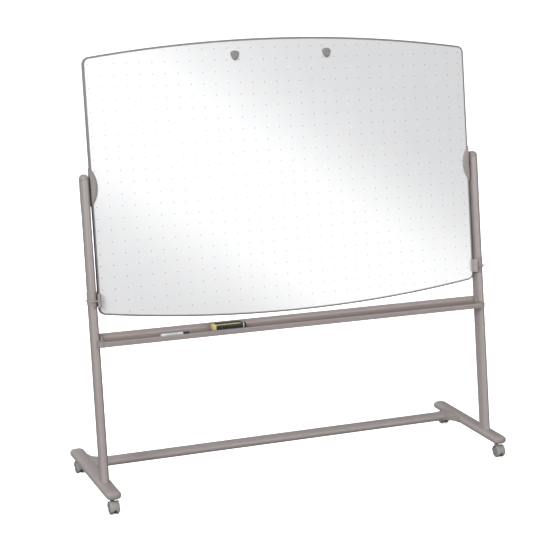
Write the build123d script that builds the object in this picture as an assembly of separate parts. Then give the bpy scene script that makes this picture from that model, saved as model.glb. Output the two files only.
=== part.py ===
from build123d import *
from math import cos, radians, sin, sqrt, tan
import os

# Rolling whiteboard: a reversible board hung between two leaning posts on caster feet.
# Millimetres. +X runs along the board to the user's right, +Y to the back, +Z up.
# The origin is on the floor, at the centre of the stand.
# Pieces on the posts and on the board are drawn upright about the pivot axis, with the
# board's front facing -Y, and lean() then tips them back to their place.

# ---- driving dimensions ---------------------------------------------------------------
LEAN = 9.2                      # posts and board lean back from the vertical, degrees
PIVOT_Y = 52.0
PIVOT_Z = 1347.0

TUBE_LONG = 33.0                # half of the oval tube's long side
TUBE_SHORT = 18.25              # half of its short side
TUBE_WALL = 1.8
DOME = 25.0                     # length of the domed end caps

BOARD_WIDTH = 1829.0
BOARD_HEIGHT = 1219.0
BOARD_RISE = 65.0               # rise of the arched top and bottom edges
BOARD_CORNER = 32.0
BOARD_DEPTH = 20.0
FRAME_WEB = 2.0
FRAME_LIP = 6.0
LIP_DEPTH = 1.2
SHEET = 0.8
PANEL_GAP = 0.2                 # between the panel's edge and the frame's web

POST_X = 940.0
POST_ABOVE_PIVOT = 56.7

FOOT_FRONT = -306.0
FOOT_BACK = 312.5
FOOT_Z = 83.4
RAIL_Y = 131.5
GUSSET_REACH = 49.0             # the webs between rail and foot spread this far along both
GUSSET_HALF = 15.0              # half their height

CASTER_FRONT_Y = -262.0
CASTER_BACK_Y = 274.0
WHEEL_RADIUS = 25.0
WHEEL_WIDTH = 15.5
WHEEL_TRAIL = 22.0              # the axle is this far from the swivel stem
WEB_WIDTH = 9.0                 # the caster's body between its wheels
HOOD_TOP = 59.3
STEM_RADIUS = 5.0
SOCKET_RADIUS = 9.0
RUNNING = 0.05                  # radial clearance of a running fit

BRACKET_HALF = 82.0
BRACKET_REACH = 29.5
BRACKET_PROUD = 7.0
BRACKET_SIDE = 1.5
PIN_RADIUS = 6.0
BUSH_RADIUS = 9.0
BUSH_FLANGE = 14.0

COLLAR_TOP = -443.0
COLLAR_BOTTOM = -517.0
COLLAR_WALL = 3.0
LATCH_Z = -482.0
LATCH_HALF = 30.0               # half the height of the latch's claws
LATCH_INNER_X = 906.0
LATCH_TRAVEL = 9.0              # how far a latch slides out to free the board
LATCH_GAP = 0.4                 # between a claw and the board's face
LATCH_GUARD = 0.4               # between the latch's hoop and the collar
LATCH_HOOP = 2.4                # how thick the hoop is
LATCH_BAR = 5.5                 # how tall the hoop and its bars are
RIGHT_BAR_END = 965.0           # the right latch's bars stick out past the post for a thumb
LEFT_BAR_END = 955.0            # the left one's stop short of the post's outer side

TRAY_BACK = -49.0
TRAY_DEPTH = 72.0
TRAY_BOTTOM = 685.5
TRAY_FLOOR = 699.0
TRAY_TOP = 731.0
TRAY_LIP_TOP = 708.5
TRAY_CORNER = 20.0              # the rounded corner between floor and back wall
TRAY_SHEET = 2.5
TRAY_HALF = 912.0
TRAY_WALL_END = 921.0           # the end caps' upper parts reach the posts' inner sides
TRAY_END = 937.0

HOOK_X = (-226.0, 214.0)
HOOK_Z = 536.0
HOOK_HALF = 21.0
HOOK_HEIGHT = 44.0
PEG_RADIUS = 3.5
PEG_REACH = 17.0

MARKER_X = -592.0
MARKER_LENGTH = 130.0
MARKER_RADIUS = 7.0
ERASER_X = -344.0
ERASER_LENGTH = 154.0
ERASER_BACK = -73.0
ERASER_DEPTH = 40.0
ERASER_HEIGHT = 33.0

# ---- worked-out dimensions ------------------------------------------------------------
FOOT_TOP = FOOT_Z + TUBE_SHORT
FOOT_BOTTOM = FOOT_Z - TUBE_SHORT
BOARD_EDGE = BOARD_WIDTH / 2
FACE = BOARD_DEPTH / 2
SHEET_FACE = FACE - LIP_DEPTH
POST_INNER = POST_X - TUBE_SHORT
POST_LENGTH_BELOW = (PIVOT_Z - FOOT_TOP) / cos(radians(LEAN))
TRAY_FRONT = TRAY_BACK - TRAY_DEPTH


# ---- helpers --------------------------------------------------------------------------
def lean(shape):
    """Tip an upright piece back with the posts and set it on the pivot axis."""
    return Location((0, PIVOT_Y, PIVOT_Z), (-LEAN, 0, 0)) * shape


def mirrored(shape):
    return mirror(shape, about=Plane.YZ)


def box(low, high):
    size = [h - l for l, h in zip(low, high)]
    centre = [(h + l) / 2 for l, h in zip(low, high)]
    return Pos(*centre) * Box(*size)


def rod_x(radius, x0, x1, y=0.0, z=0.0):
    return Plane(origin=(x0, y, z), x_dir=(0, 1, 0), z_dir=(1, 0, 0)) * Pos(0, 0, (x1 - x0) / 2) * \
        Cylinder(radius, x1 - x0)


def rod_y(radius, y0, y1, x=0.0, z=0.0):
    return Plane(origin=(x, y0, z), x_dir=(1, 0, 0), z_dir=(0, 1, 0)) * Pos(0, 0, (y1 - y0) / 2) * \
        Cylinder(radius, y1 - y0)


def rod_z(radius, z0, z1, x=0.0, y=0.0):
    return Pos(x, y, (z0 + z1) / 2) * Cylinder(radius, z1 - z0)


def oval_z(half_x, half_y, z0, z1):
    return extrude(Pos(0, 0, z0) * Ellipse(half_x, half_y), z1 - z0)


def oval_y(half_x, half_z, y0, y1):
    plane = Plane(origin=(0, y0, 0), x_dir=(1, 0, 0), z_dir=(0, 1, 0))
    return extrude(plane * Ellipse(half_x, half_z), y1 - y0)


def oval_x(half_y, half_z, x0, x1):
    plane = Plane(origin=(x0, 0, 0), x_dir=(0, 1, 0), z_dir=(1, 0, 0))
    return extrude(plane * Ellipse(half_y, half_z), x1 - x0)


def save(name, *solids):
    shape = solids[0] if len(solids) == 1 else Compound(children=list(solids))
    export_step(shape, "parts/" + name + ".step")


# ---- feet, rail and posts -------------------------------------------------------------
def foot_outer():
    """The right foot's outside, between its end caps."""
    return Pos(POST_X, 0, FOOT_Z) * oval_y(TUBE_LONG, TUBE_SHORT, FOOT_FRONT + DOME, FOOT_BACK - DOME)


def foot_inner():
    half_long = TUBE_LONG - TUBE_WALL
    half_short = TUBE_SHORT - TUBE_WALL
    return Pos(POST_X, 0, FOOT_Z) * oval_y(half_long, half_short, FOOT_FRONT, FOOT_BACK)


def foot_tube():
    tube = foot_outer() - foot_inner()
    for y in (CASTER_FRONT_Y, CASTER_BACK_Y):
        tube -= rod_z(SOCKET_RADIUS, FOOT_BOTTOM - 5, FOOT_Z, POST_X, y)
    tube -= lean(post_bolt(RUNNING))
    return tube


def dome_cap():
    """A domed end for the oval tube, long side in X, pointing up, with a plug below."""
    dome = scale(Sphere(1.0), by=(TUBE_LONG, TUBE_SHORT, DOME))
    dome = split(dome, bisect_by=Plane.XY, keep=Keep.TOP)
    plug = oval_z(TUBE_LONG - TUBE_WALL - 0.1, TUBE_SHORT - TUBE_WALL - 0.1, -12, 0)
    return dome + plug


def foot_caps():
    front = Pos(POST_X, FOOT_FRONT + DOME, FOOT_Z) * Rot(90, 0, 0) * dome_cap()
    back = Pos(POST_X, FOOT_BACK - DOME, FOOT_Z) * Rot(-90, 0, 0) * dome_cap()
    front -= rod_z(SOCKET_RADIUS + 3.3, FOOT_BOTTOM - 5, FOOT_Z + 5, POST_X, CASTER_FRONT_Y)
    back -= rod_z(SOCKET_RADIUS + 3.3, FOOT_BOTTOM - 5, FOOT_Z + 5, POST_X, CASTER_BACK_Y)
    return [front, back, mirrored(front), mirrored(back)]


def post_outer():
    return Pos(POST_X, 0, 0) * oval_z(TUBE_SHORT, TUBE_LONG, -POST_LENGTH_BELOW - 24,
                                      POST_ABOVE_PIVOT - DOME)


def post_hollow(z0, z1, gap=0.0):
    half_short = TUBE_SHORT - TUBE_WALL - gap
    half_long = TUBE_LONG - TUBE_WALL - gap
    return Pos(POST_X, 0, 0) * oval_z(half_short, half_long, z0, z1)


def post():
    """The right post: an oval tube coped to sit on the foot."""
    tube = post_outer() - post_hollow(-POST_LENGTH_BELOW - 60, POST_ABOVE_PIVOT)
    tube -= rod_x(BUSH_RADIUS, POST_INNER - 10, POST_X)
    tube -= rod_y(3.0 + RUNNING, 0, TUBE_LONG + 10, POST_X, LATCH_Z - 20)
    tube = lean(tube) - foot_outer()
    tube -= tray_screw(RUNNING)
    return tube


def post_cap():
    return Pos(POST_X, 0, POST_ABOVE_PIVOT - DOME) * Rot(0, 0, 90) * dome_cap()


def post_bolt(gap=0.0):
    """The bolt that comes up through the foot into the post's threaded plug."""
    head_z = -POST_LENGTH_BELOW - 2 * TUBE_SHORT - 2.0
    head = Pos(POST_X, 0, head_z - 3) * Cylinder(7.0 + gap, 6.0)
    shank = rod_z(4.0 + gap, head_z, -POST_LENGTH_BELOW + 30, POST_X, 0)
    return head + shank if gap == 0 else shank


def post_plug():
    plug = lean(post_hollow(-POST_LENGTH_BELOW - 24, -POST_LENGTH_BELOW + 34, 0.1)) - foot_outer()
    return plug - lean(rod_z(4.0, -POST_LENGTH_BELOW - 80, -POST_LENGTH_BELOW + 30, POST_X, 0))


def post_bolt_seated():
    return lean(post_bolt()) - foot_tube()


def rail():
    half = POST_X - TUBE_LONG
    outer = oval_x(TUBE_LONG, TUBE_SHORT, -half - 20, half + 20)
    inner = oval_x(TUBE_LONG - TUBE_WALL, TUBE_SHORT - TUBE_WALL, -half - 30, half + 30)
    tube = Pos(0, RAIL_Y, FOOT_Z) * (outer - inner)
    return tube - foot_outer() - mirrored(foot_outer())


def rail_gusset():
    """Two webs with hollowed sides, before and behind the rail, that brace it to the right foot."""
    near = POST_X - TUBE_LONG
    start = near - GUSSET_REACH
    wide = TUBE_LONG + GUSSET_REACH
    hollow = GUSSET_REACH * (1 - sqrt(0.5))
    edges = Line((start, -TUBE_LONG), (start, TUBE_LONG))
    edges += ThreePointArc((start, TUBE_LONG), (near - hollow, TUBE_LONG + hollow), (near, wide))
    edges += Polyline((near, wide), (near + 12, wide), (near + 12, -wide), (near, -wide))
    edges += ThreePointArc((near, -wide), (near - hollow, -TUBE_LONG - hollow), (start, -TUBE_LONG))
    web = extrude(Pos(0, RAIL_Y, FOOT_Z - GUSSET_HALF) * make_face(edges), 2 * GUSSET_HALF)
    web = fillet(web.edges().filter_by(GeomType.CIRCLE), 4.0)
    web -= foot_outer()
    return web - Pos(0, RAIL_Y, FOOT_Z) * oval_x(TUBE_LONG, TUBE_SHORT, start - 5, POST_X)


# ---- board ----------------------------------------------------------------------------
def board_face(inset=0.0):
    """The board's outline, upright in the XZ plane, drawn inset from its edge."""
    side = BOARD_HEIGHT / 2 - BOARD_RISE
    top = BOARD_HEIGHT / 2
    edges = Line((BOARD_EDGE, -side), (BOARD_EDGE, side))
    edges += ThreePointArc((BOARD_EDGE, side), (0, top), (-BOARD_EDGE, side))
    edges += Line((-BOARD_EDGE, side), (-BOARD_EDGE, -side))
    edges += ThreePointArc((-BOARD_EDGE, -side), (0, -top), (BOARD_EDGE, -side))
    face = make_face(edges)
    face = fillet(face.vertices(), BOARD_CORNER)
    if inset:
        face = offset(face, amount=-inset)
    return face


def board_slab(inset, y0, y1):
    plane = Plane(origin=(0, y0, 0), x_dir=(1, 0, 0), z_dir=(0, -1, 0))
    return extrude(plane * board_face(inset), y0 - y1)


def edge_frame():
    ring = board_slab(0, -FACE, FACE)
    ring -= board_slab(FRAME_WEB, -SHEET_FACE, SHEET_FACE)
    ring -= board_slab(FRAME_LIP, -FACE - 1, FACE + 1)
    ring -= rod_x(PIN_RADIUS + RUNNING, -BOARD_WIDTH, BOARD_WIDTH)
    return ring


def frame_halves():
    ring = edge_frame()
    top = split(ring, bisect_by=Plane.XY, keep=Keep.TOP)
    bottom = split(ring, bisect_by=Plane.XY, keep=Keep.BOTTOM)
    return top, bottom


def board_core():
    inset = FRAME_WEB + PANEL_GAP
    half = SHEET_FACE - SHEET
    core = board_slab(inset, -half, half)
    for side in (-1, 1):
        x0, x1 = sorted((side * (BOARD_EDGE - 62), side * (BOARD_EDGE + 5)))
        core -= rod_x(PIN_RADIUS + RUNNING, x0, x1)
    for screw in bracket_screws():
        core -= screw
    return core


def writing_sheet(side):
    """side -1 is the front sheet, +1 the back one."""
    y0, y1 = sorted((side * (SHEET_FACE - SHEET), side * SHEET_FACE))
    sheet = board_slab(FRAME_WEB + PANEL_GAP, y0, y1)
    for screw in bracket_screws():
        sheet -= screw
    return sheet


def half_moon(y0, y1):
    """The right bracket's outline: a segment of a circle whose chord is the board's edge."""
    radius = (BRACKET_HALF ** 2 + BRACKET_REACH ** 2) / (2 * BRACKET_REACH)
    disc = rod_y(radius, y0, y1, BOARD_EDGE - BRACKET_REACH + radius, 0)
    return disc & box((BOARD_EDGE - BRACKET_REACH - 1, y0, -BRACKET_HALF),
                      (BOARD_EDGE + BRACKET_SIDE, y1, BRACKET_HALF))


def pivot_bracket():
    """The right bracket: one moulding that grips the board's edge from both faces."""
    half = FACE + BRACKET_PROUD
    body = half_moon(-half, half)
    rim = body.edges().filter_by(GeomType.CIRCLE)
    body = fillet(rim, 4.0)
    body -= board_slab(0, -FACE, FACE) - board_slab(FRAME_LIP, -FACE - 1, FACE + 1)
    body -= board_slab(1.0, -SHEET_FACE, SHEET_FACE)
    body -= rod_x(PIN_RADIUS + RUNNING, BOARD_EDGE - 80, BOARD_EDGE + 10)
    for screw in bracket_screws():
        body -= screw
    return body


def bracket_screws():
    """Blind screws, driven from the back, that clamp each bracket to the board."""
    half = FACE + BRACKET_PROUD
    screws = []
    for side in (-1, 1):
        for z in (-42.0, 42.0):
            x = side * (BOARD_EDGE - 13.5)
            screws.append(rod_y(2.5, -half + 3.0, half - 2.6, x, z) + rod_y(4.5, half - 2.6, half - 0.2, x, z))
    return screws


def pivot_pin():
    return rod_x(PIN_RADIUS, BOARD_EDGE - 60, POST_X - 4)


def pivot_bush():
    """A flanged bush in the post's inner wall that the pin turns in."""
    flange_x = BOARD_EDGE + BRACKET_SIDE + 0.4
    bush = rod_x(BUSH_FLANGE, flange_x, POST_INNER + 2) + rod_x(BUSH_RADIUS - 0.02, flange_x, POST_X - 2)
    bush -= rod_x(PIN_RADIUS + RUNNING, flange_x - 5, POST_X)
    wall = post_outer() - rod_x(BUSH_RADIUS, POST_INNER - 20, POST_X)
    return bush - wall


def flipchart_hook(x):
    """A shield-shaped plate with a peg near its lower tip."""
    top = HOOK_Z + HOOK_HEIGHT / 2
    tip = HOOK_Z - HOOK_HEIGHT / 2
    shoulder = HOOK_Z + HOOK_HEIGHT * 0.22
    edges = ThreePointArc((-HOOK_HALF, shoulder), (0, top), (HOOK_HALF, shoulder))
    edges += ThreePointArc((HOOK_HALF, shoulder), (HOOK_HALF * 0.66, HOOK_Z - HOOK_HEIGHT * 0.2), (0, tip))
    edges += ThreePointArc((0, tip), (-HOOK_HALF * 0.66, HOOK_Z - HOOK_HEIGHT * 0.2), (-HOOK_HALF, shoulder))
    outline = make_face(edges)
    outline = fillet(outline.vertices(), 4.5)
    plane = Plane(origin=(x, -SHEET_FACE, 0), x_dir=(1, 0, 0), z_dir=(0, -1, 0))
    plate = extrude(plane * outline, 6.0)
    front = plate.faces().sort_by(Axis.Y)[0]
    plate = fillet(front.edges(), 2.5)
    peg_z = HOOK_Z - HOOK_HEIGHT * 0.27
    peg = rod_y(PEG_RADIUS, -SHEET_FACE - PEG_REACH, -SHEET_FACE - 1, x, peg_z)
    peg = chamfer(peg.faces().sort_by(Axis.Y)[0].edges(), 0.6)
    return plate + peg


# ---- board locks ----------------------------------------------------------------------
def lock_collar():
    """The right collar: a moulded sleeve on the post, with a grooved guide front and back."""
    half_short = TUBE_SHORT + COLLAR_WALL
    half_long = TUBE_LONG + COLLAR_WALL
    band_bottom = LATCH_Z - 9
    sleeve = Pos(POST_X, 0, 0) * oval_z(half_short, half_long, band_bottom, COLLAR_TOP)
    lower = Plane(origin=(POST_X, 0, COLLAR_BOTTOM)) * Ellipse(TUBE_SHORT + 1.0, TUBE_LONG + 1.0)
    upper = Plane(origin=(POST_X, 0, band_bottom)) * Ellipse(half_short, half_long)
    sleeve += loft([lower, upper])
    guide = box((POST_X - 4, -half_long - 3, LATCH_Z - 8), (POST_X + 10, half_long + 3, LATCH_Z + 8))
    guide = fillet(guide.edges().filter_by(Axis.Z), 2.0)
    slot = LATCH_BAR / 2 + 0.3
    guide -= box((POST_X - 40, -60, LATCH_Z - slot), (POST_X + 40, 60, LATCH_Z + slot))
    body = sleeve + guide - post_outer()
    return body - rod_y(3.0 + RUNNING, 0, TUBE_LONG + 20, POST_X, LATCH_Z - 20)


def swept_collar(grow, half_height):
    """The space the collar takes up as seen from the latch over its travel, grown all round."""
    z0, z1 = LATCH_Z - half_height, LATCH_Z + half_height
    half_short = TUBE_SHORT + COLLAR_WALL + grow
    half_long = TUBE_LONG + COLLAR_WALL + grow
    inner_x = POST_X - LATCH_TRAVEL - 0.5
    ovals = [Pos(x, 0, 0) * oval_z(half_short, half_long, z0, z1) for x in (inner_x, POST_X)]
    return ovals[0] + ovals[1] + box((inner_x, -half_long, z0), (POST_X, half_long, z1))


def lock_latch(bar_end):
    """A right-hand latch: a hoop round the collar, with claws that straddle the board's edge."""
    near = FACE + LATCH_GAP
    front = TUBE_LONG + COLLAR_WALL + LATCH_GUARD + LATCH_HOOP
    claw = box((LATCH_INNER_X, -front, LATCH_Z - LATCH_HALF), (POST_X - 16, -near, LATCH_Z + LATCH_HALF))
    claw = fillet(claw.edges().filter_by(Axis.Z).sort_by(Axis.X)[:2].sort_by(Axis.Y)[0], 13.0)
    claw = fillet(claw.edges().group_by(Axis.Z)[-1], 3.0)
    claw = fillet(claw.edges().group_by(Axis.Z)[0], 3.0)
    half_bar = LATCH_BAR / 2
    bar = box((POST_X - 18, -front - 3, LATCH_Z - half_bar), (bar_end, -front + 2, LATCH_Z + half_bar))
    bar = fillet(bar.edges().filter_by(Axis.Z).group_by(Axis.X)[-1], 1.5)
    hoop = swept_collar(LATCH_GUARD + LATCH_HOOP, half_bar)
    hoop -= box((POST_X - 50, -near, -600), (POST_X - 5, near, -400))
    latch = hoop + claw + mirror(claw, about=Plane.XZ) + bar + mirror(bar, about=Plane.XZ)
    return latch - swept_collar(LATCH_GUARD, LATCH_HALF + 5)


def collar_screw():
    seat = TUBE_LONG + COLLAR_WALL
    z = LATCH_Z - 20
    return rod_y(5.5, seat + 0.1, seat + 3.3, POST_X, z) + rod_y(3.0, 6, seat + 0.1, POST_X, z)


# ---- tray -----------------------------------------------------------------------------
def tray_profile():
    """The tray's section: a tall back wall, a floor, and a low front lip with a skirt."""
    t = TRAY_SHEET
    back, front = -TRAY_BACK, -TRAY_FRONT
    inner_front = front - 2 * t - 1.5
    points = [(back, TRAY_FLOOR - t), (back, TRAY_TOP), (back + t, TRAY_TOP), (back + t, TRAY_FLOOR),
              (inner_front, TRAY_FLOOR), (inner_front, TRAY_LIP_TOP), (front, TRAY_LIP_TOP),
              (front, TRAY_BOTTOM), (front - 8, TRAY_BOTTOM), (front - 8, TRAY_BOTTOM + t),
              (front - t, TRAY_BOTTOM + t), (front - t, TRAY_LIP_TOP - t), (front - t - 1.5, TRAY_LIP_TOP - t),
              (front - t - 1.5, TRAY_FLOOR - t)]
    section = make_face(Polyline(*points, close=True))
    soft = {(back + t, TRAY_FLOOR): TRAY_CORNER, (back, TRAY_FLOOR - t): TRAY_CORNER + t,
            (inner_front, TRAY_FLOOR): 4.0, (front, TRAY_LIP_TOP): 2.4, (inner_front, TRAY_LIP_TOP): 2.0}
    for (y, z), radius in soft.items():
        corner = section.vertices().sort_by_distance(Vector(y, z, 0))[0]
        section = fillet(corner, radius)
    return section


def along_x(section, x0, x1):
    """Extrude a section drawn with its first axis towards the front and its second one up."""
    plane = Plane(origin=(x0, 0, 0), x_dir=(0, -1, 0), z_dir=(-1, 0, 0))
    return extrude(plane * section, x0 - x1)


def tray():
    return along_x(tray_profile(), -TRAY_HALF, TRAY_HALF)


def tray_end():
    """The right end cap: it closes the tray, meets the post's inner side and seats on its front."""
    back, front = -TRAY_BACK, -TRAY_FRONT
    outline = [(back, TRAY_FLOOR - 8), (back, TRAY_TOP), (back + 6, TRAY_TOP), (back + 30, TRAY_LIP_TOP),
               (front, TRAY_LIP_TOP), (front, TRAY_BOTTOM), (back + 24, TRAY_BOTTOM)]
    wall = along_x(make_face(Polyline(*outline, close=True)), TRAY_HALF, TRAY_WALL_END)
    front_block = box((TRAY_HALF, TRAY_FRONT, TRAY_BOTTOM), (TRAY_END, TRAY_BACK - 20, TRAY_LIP_TOP))
    corner = front_block.edges().filter_by(Axis.Z).sort_by(Axis.X)[-2:].sort_by(Axis.Y)[0]
    front_block = fillet(corner, 9.0)
    body = wall + front_block
    return body - lean(post_outer()) - tray_screw()


def tray_screw(gap=0.0):
    """The screw through the post, from behind, into the tray's end cap."""
    z = (TRAY_BOTTOM + TRAY_LIP_TOP) / 2
    axis_y = PIVOT_Y - (PIVOT_Z - z) * tan(radians(LEAN))
    back = axis_y + TUBE_LONG + 1.6
    x = POST_X - 7
    shank = rod_y(3.0 + gap, axis_y - TUBE_LONG - 18, back, x, z)
    head = rod_y(5.5, back, back + 3.5, x, z)
    return shank + head if gap == 0 else rod_y(3.0 + gap, axis_y - TUBE_LONG - 18, back + 10, x, z)


# ---- casters --------------------------------------------------------------------------
def caster_socket():
    socket = rod_z(SOCKET_RADIUS - 0.02, FOOT_BOTTOM - 1.0, FOOT_BOTTOM + 20)
    flange = rod_z(SOCKET_RADIUS + 3, FOOT_BOTTOM - 1.5, FOOT_BOTTOM + 6)
    bore = rod_z(STEM_RADIUS + RUNNING, FOOT_BOTTOM - 5, FOOT_BOTTOM + 17)
    return socket + flange - bore


def caster_stem():
    stem = rod_z(STEM_RADIUS, 44, FOOT_BOTTOM + 15)
    return stem + rod_z(7.5, 59.5, 61.5)


def caster_hood():
    """The caster's body: a web between the wheels and a flat-topped hood over them."""
    half_web = WEB_WIDTH / 2
    half_hood = half_web + WHEEL_WIDTH + 1.0
    axle = Pos(0, -WHEEL_TRAIL, WHEEL_RADIUS)
    hood = axle * oval_x(WHEEL_RADIUS + 3.5, HOOD_TOP - WHEEL_RADIUS, -half_hood, half_hood)
    hood = fillet(hood.faces().filter_by(Axis.X).edges(), 5.0)
    hood -= axle * oval_x(WHEEL_RADIUS + 1.2, HOOD_TOP - WHEEL_RADIUS - 2.8, -half_hood - 5, half_hood + 5)
    hood -= box((-60, -WHEEL_TRAIL - 60, -20), (60, -WHEEL_TRAIL, 12))
    hood -= box((-60, -WHEEL_TRAIL, -20), (60, -WHEEL_TRAIL + 60, 24))
    web = rod_x(WHEEL_RADIUS - 3.0, -half_web, half_web, -WHEEL_TRAIL, WHEEL_RADIUS)
    spine = axle * oval_x(WHEEL_RADIUS + 2.0, HOOD_TOP - WHEEL_RADIUS - 1.5, -half_web, half_web)
    spine &= box((-60, -WHEEL_TRAIL - 60, 22), (60, -WHEEL_TRAIL + 60, 60))
    neck = rod_z(10.5, 30, HOOD_TOP) & box((-10.4, -12, 30), (10.4, 12, HOOD_TOP))
    for x0, x1 in ((half_web, 30), (-30, -half_web)):
        neck -= rod_x(WHEEL_RADIUS + 1.2, x0, x1, -WHEEL_TRAIL, WHEEL_RADIUS)
    body = hood + web + spine + neck
    body -= rod_z(STEM_RADIUS, 44, 70)
    return body - rod_x(3.0, -40, 40, -WHEEL_TRAIL, WHEEL_RADIUS)


def caster_axle():
    half = WEB_WIDTH / 2 + WHEEL_WIDTH - 3.0
    return rod_x(3.0, -half, half, -WHEEL_TRAIL, WHEEL_RADIUS)


def caster_wheel():
    """The wheel on the +X side: a rounded tread with a dished outer face."""
    x0 = WEB_WIDTH / 2 + 0.5
    x1 = x0 + WHEEL_WIDTH - 1.0
    wheel = rod_x(WHEEL_RADIUS, x0, x1, -WHEEL_TRAIL, WHEEL_RADIUS)
    wheel = fillet(wheel.edges().filter_by(GeomType.CIRCLE), 3.0)
    wheel -= rod_x(WHEEL_RADIUS - 6.0, x1 - 2.0, x1 + 1, -WHEEL_TRAIL, WHEEL_RADIUS)
    wheel += rod_x(7.0, x1 - 4.0, x1 - 0.5, -WHEEL_TRAIL, WHEEL_RADIUS)
    return wheel - rod_x(3.0 + RUNNING, x0 - 1, x1 - 2.5, -WHEEL_TRAIL, WHEEL_RADIUS)


def save_casters():
    places = {"front_left": (-POST_X, CASTER_FRONT_Y), "front_right": (POST_X, CASTER_FRONT_Y),
              "back_left": (-POST_X, CASTER_BACK_Y), "back_right": (POST_X, CASTER_BACK_Y)}
    for corner, (x, y) in places.items():
        spot = Pos(x, y, 0)
        save(corner + "_caster_hood", spot * caster_hood())
        save(corner + "_caster_stem", spot * caster_stem())
        save(corner + "_caster_axle", spot * caster_axle())
        save(corner + "_right_wheel", spot * caster_wheel())
        save(corner + "_left_wheel", spot * mirrored(caster_wheel()))
    save("caster_sockets", *[(Pos(x, y, 0) * caster_socket()) & (foot_socket_room(x, y))
                             for x, y in places.values()])


def foot_socket_room(x, y):
    """Where a socket may be: its bore in the foot, and the space under the foot."""
    foot = foot_tube() if x > 0 else mirrored(foot_tube())
    return Pos(x, y, FOOT_BOTTOM + 10) * Box(30, 30, 30) - foot


# ---- things kept in the tray ----------------------------------------------------------
def marker_line():
    """How far forward the marker lies, and the height of its axis."""
    return -TRAY_BACK + 46.0, TRAY_FLOOR + MARKER_RADIUS + 0.1


def marker_barrel():
    front, z = marker_line()
    y = -front
    x0 = MARKER_X - MARKER_LENGTH / 2
    joint = x0 + MARKER_LENGTH * 0.77
    barrel = rod_x(MARKER_RADIUS, x0, joint, y, z)
    barrel = fillet(barrel.edges().filter_by(GeomType.CIRCLE).sort_by(Axis.X)[0], 2.0)
    neck = rod_x(4.8, joint, joint + 12, y, z)
    nib = rod_x(2.2, joint + 12, joint + 20, y, z)
    return barrel + neck + nib


def marker_cap():
    front, z = marker_line()
    y = -front
    x1 = MARKER_X + MARKER_LENGTH / 2
    joint = MARKER_X - MARKER_LENGTH / 2 + MARKER_LENGTH * 0.77
    cap = rod_x(MARKER_RADIUS, joint, x1, y, z)
    cap = fillet(cap.edges().filter_by(GeomType.CIRCLE).sort_by(Axis.X)[-1], 2.0)
    return cap - rod_x(4.8 + RUNNING, joint - 1, joint + 24, y, z)


def eraser_felt():
    low = (ERASER_X - ERASER_LENGTH / 2 + 3, ERASER_BACK - ERASER_DEPTH + 2, TRAY_FLOOR + 0.1)
    high = (ERASER_X + ERASER_LENGTH / 2 - 3, ERASER_BACK - 2, TRAY_FLOOR + 11.0)
    return box(low, high)


def eraser_body():
    low = (ERASER_X - ERASER_LENGTH / 2, ERASER_BACK - ERASER_DEPTH, TRAY_FLOOR + 11.0)
    high = (ERASER_X + ERASER_LENGTH / 2, ERASER_BACK, TRAY_FLOOR + ERASER_HEIGHT)
    body = box(low, high)
    return fillet(body.edges().group_by(Axis.Z)[-1], 6.0)


# ---- write every piece ----------------------------------------------------------------
def save_pair(name, right_piece):
    save("right_" + name, right_piece)
    save("left_" + name, mirrored(right_piece))


def save_group(name, right_piece):
    save(name, right_piece, mirrored(right_piece))


def main():
    os.makedirs("parts", exist_ok=True)
    save_pair("foot_tube", foot_tube())
    save("foot_end_caps", *foot_caps())
    save_pair("post", post())
    save_group("post_end_caps", lean(post_cap()))
    save_group("post_plugs", post_plug())
    save_group("post_bolts", post_bolt_seated())
    save("bottom_rail", rail())
    save_group("rail_gussets", rail_gusset())
    save("marker_tray", tray())
    save_pair("tray_end", tray_end())
    save_group("tray_screws", tray_screw())
    save_pair("lock_collar", lean(lock_collar()))
    save_group("collar_screws", lean(collar_screw()))
    save("right_lock_latch", lean(lock_latch(RIGHT_BAR_END)))
    save("left_lock_latch", mirrored(lean(lock_latch(LEFT_BAR_END))))
    save_group("pivot_bushes", lean(pivot_bush()))

    save("board_core", lean(board_core()))
    save("front_writing_sheet", lean(writing_sheet(-1)))
    save("back_writing_sheet", lean(writing_sheet(1)))
    top_frame, bottom_frame = frame_halves()
    save("top_edge_frame", lean(top_frame))
    save("bottom_edge_frame", lean(bottom_frame))
    save_pair("pivot_bracket", lean(pivot_bracket()))
    save("bracket_screws", *[lean(screw) for screw in bracket_screws()])
    save_group("pivot_pins", lean(pivot_pin()))
    save("left_flipchart_hook", lean(flipchart_hook(HOOK_X[0])))
    save("right_flipchart_hook", lean(flipchart_hook(HOOK_X[1])))

    save_casters()
    save("marker_barrel", marker_barrel())
    save("marker_cap", marker_cap())
    save("eraser_body", eraser_body())
    save("eraser_felt", eraser_felt())


main()
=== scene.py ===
import math

import bmesh
import bpy
from mathutils import Matrix, Vector


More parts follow.
